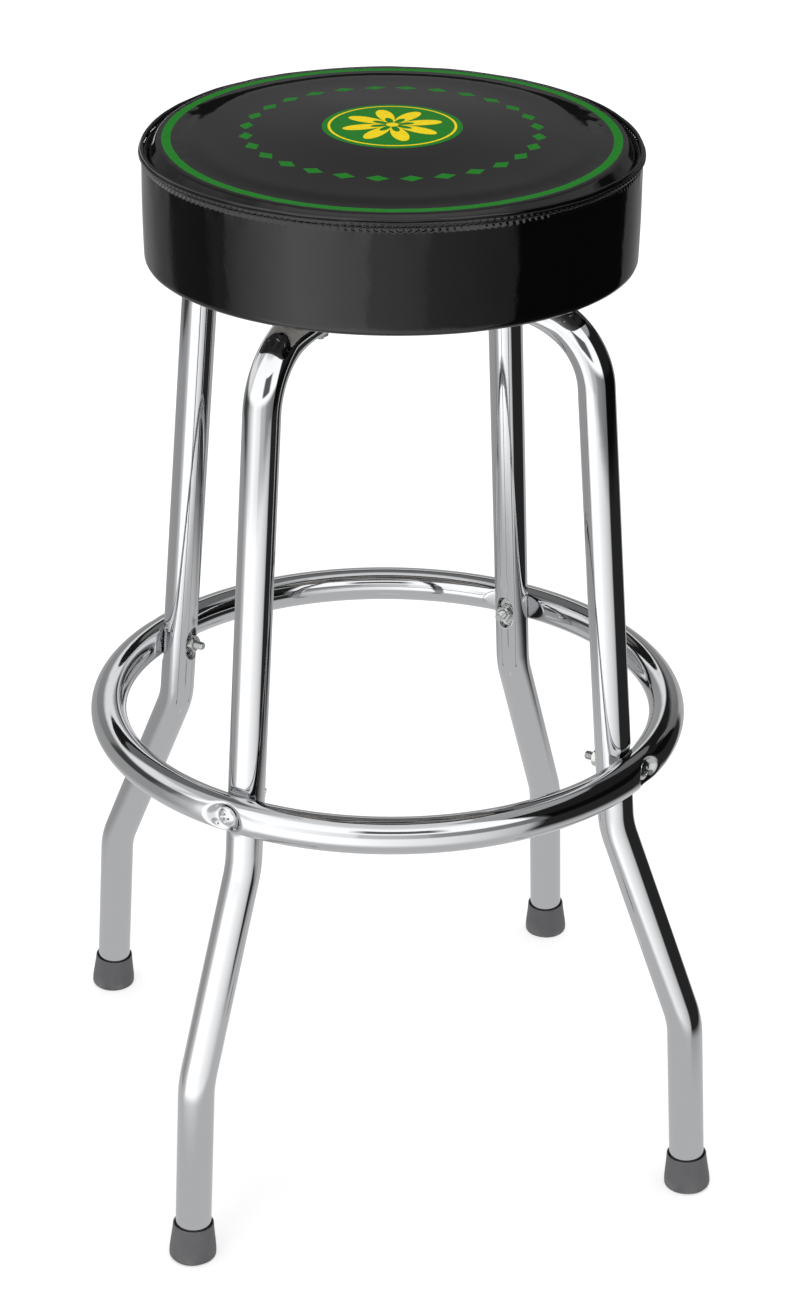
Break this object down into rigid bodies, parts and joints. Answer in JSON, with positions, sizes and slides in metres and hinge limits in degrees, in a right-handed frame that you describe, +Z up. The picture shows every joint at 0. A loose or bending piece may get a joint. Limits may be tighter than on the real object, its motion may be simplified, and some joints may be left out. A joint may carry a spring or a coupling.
{
  "type": "swivel bar stool",
  "caption": "Round padded swivel stool with a black vinyl seat, two crossed bent tube hoops as splayed legs, a bolted foot ring and rubber foot tips.",
  "frame": {"origin": "on the floor, below the swivel axis, in the middle of the four feet", "axes": "+Z up along the swivel axis; the legs stand at 45, 135, 225 and 315 degrees from +X; -Y is the side the picture was taken from"},
  "size_m": [0.4308, 0.4308, 0.7595],
  "materials": {
    "chrome_tube": "polished",
    "chrome_screw": "gloss",
    "zinc_steel": "satin",
    "dark_steel": "satin",
    "bearing_steel": "polished",
    "grey_rubber": "matte",
    "plywood": "matte",
    "foam": "matte",
    "black_vinyl": "gloss"
  },
  "bodies": {
    "base": {"leg_hoop_lower": "chrome_tube", "leg_hoop_upper": "chrome_tube", "foot_ring": "chrome_tube", "foot_tip_back_right": "grey_rubber", "ring_bolt_back_right": "chrome_screw", "ring_lock_washer_back_right": "zinc_steel", "ring_nut_back_right": "zinc_steel", "frame_bolt_back_right": "zinc_steel", "frame_nut_back_right": "zinc_steel", "foot_tip_back_left": "grey_rubber", "ring_bolt_back_left": "chrome_screw", "ring_lock_washer_back_left": "zinc_steel", "ring_nut_back_left": "zinc_steel", "frame_bolt_back_left": "zinc_steel", "frame_nut_back_left": "zinc_steel", "foot_tip_front_left": "grey_rubber", "ring_bolt_front_left": "chrome_screw", "ring_lock_washer_front_left": "zinc_steel", "ring_nut_front_left": "zinc_steel", "frame_bolt_front_left": "zinc_steel", "frame_nut_front_left": "zinc_steel", "foot_tip_front_right": "grey_rubber", "ring_bolt_front_right": "chrome_screw", "ring_lock_washer_front_right": "zinc_steel", "ring_nut_front_right": "zinc_steel", "frame_bolt_front_right": "zinc_steel", "frame_nut_front_right": "zinc_steel", "swivel_lower_plate": "dark_steel", "swivel_rivet": "zinc_steel"},
    "ball_cage": {"ball_cage": "zinc_steel", "race_ball_01": "bearing_steel", "race_ball_02": "bearing_steel", "race_ball_03": "bearing_steel", "race_ball_04": "bearing_steel", "race_ball_05": "bearing_steel", "race_ball_06": "bearing_steel", "race_ball_07": "bearing_steel", "race_ball_08": "bearing_steel", "race_ball_09": "bearing_steel", "race_ball_10": "bearing_steel", "race_ball_11": "bearing_steel", "race_ball_12": "bearing_steel"},
    "seat": {"seat_screw_back_right": "zinc_steel", "seat_screw_back_left": "zinc_steel", "seat_screw_front_left": "zinc_steel", "seat_screw_front_right": "zinc_steel", "seat_board": "plywood", "seat_foam": "foam", "seat_top_cover": "black_vinyl", "seat_side_band": "black_vinyl", "seat_welt": "black_vinyl", "swivel_upper_plate": "dark_steel"}
  },
  "joints": [
    {"name": "seat_swivel", "type": "hinge", "parent": "base", "child": "seat", "pos_m": [0, 0, 0.6637], "axis": [0, 0, 1], "continuous": true},
    {"name": "cage_turn", "type": "hinge", "parent": "base", "child": "ball_cage", "pos_m": [0, 0, 0.6637], "axis": [0, 0, 1], "continuous": true}
  ],
  "couplings": [
    {"joint": "cage_turn", "follows": "seat_swivel", "ratio": 0.5}
  ]
}
